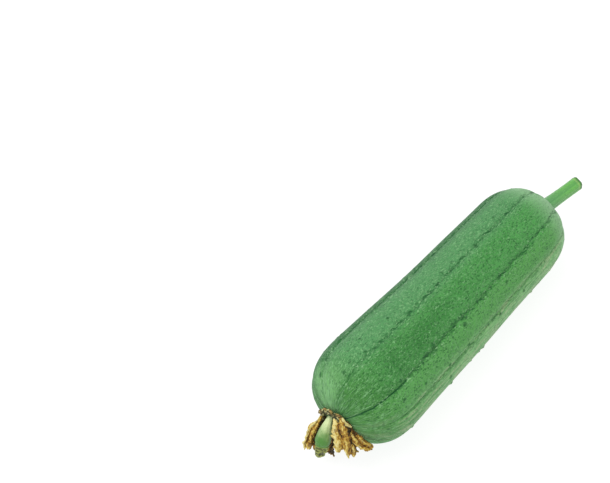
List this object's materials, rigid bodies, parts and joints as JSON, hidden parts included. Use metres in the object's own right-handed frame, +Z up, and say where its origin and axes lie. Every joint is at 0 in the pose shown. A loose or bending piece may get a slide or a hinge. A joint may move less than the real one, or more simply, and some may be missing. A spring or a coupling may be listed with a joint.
{
  "type": "smooth sponge gourd",
  "caption": "Whole picked gourd lying on its side, a blunt green cylinder with thin dark lines, small warts, a cut stem and a withered flower.",
  "frame": {"origin": "on the surface the gourd lies on, under the middle of its bounding box", "axes": "+X along the gourd towards the cut stem, +Z up, +Y to the left seen from the flower end looking at the stem"},
  "size_m": [0.273, 0.0718, 0.0708],
  "materials": {
    "skin": "matte green skin, finely mottled, with thin dark lines",
    "stem": "matte pale green stalk with faint ribs",
    "dry_petal": "dry crumpled petals, golden to dark brown",
    "style": "satin pale green, darker and crinkled at the tip"
  },
  "bodies": {
    "root": {"fruit": "skin", "stem": "stem", "withered_petals": "dry_petal", "style_and_stigma": "style"}
  },
  "joints": []
}
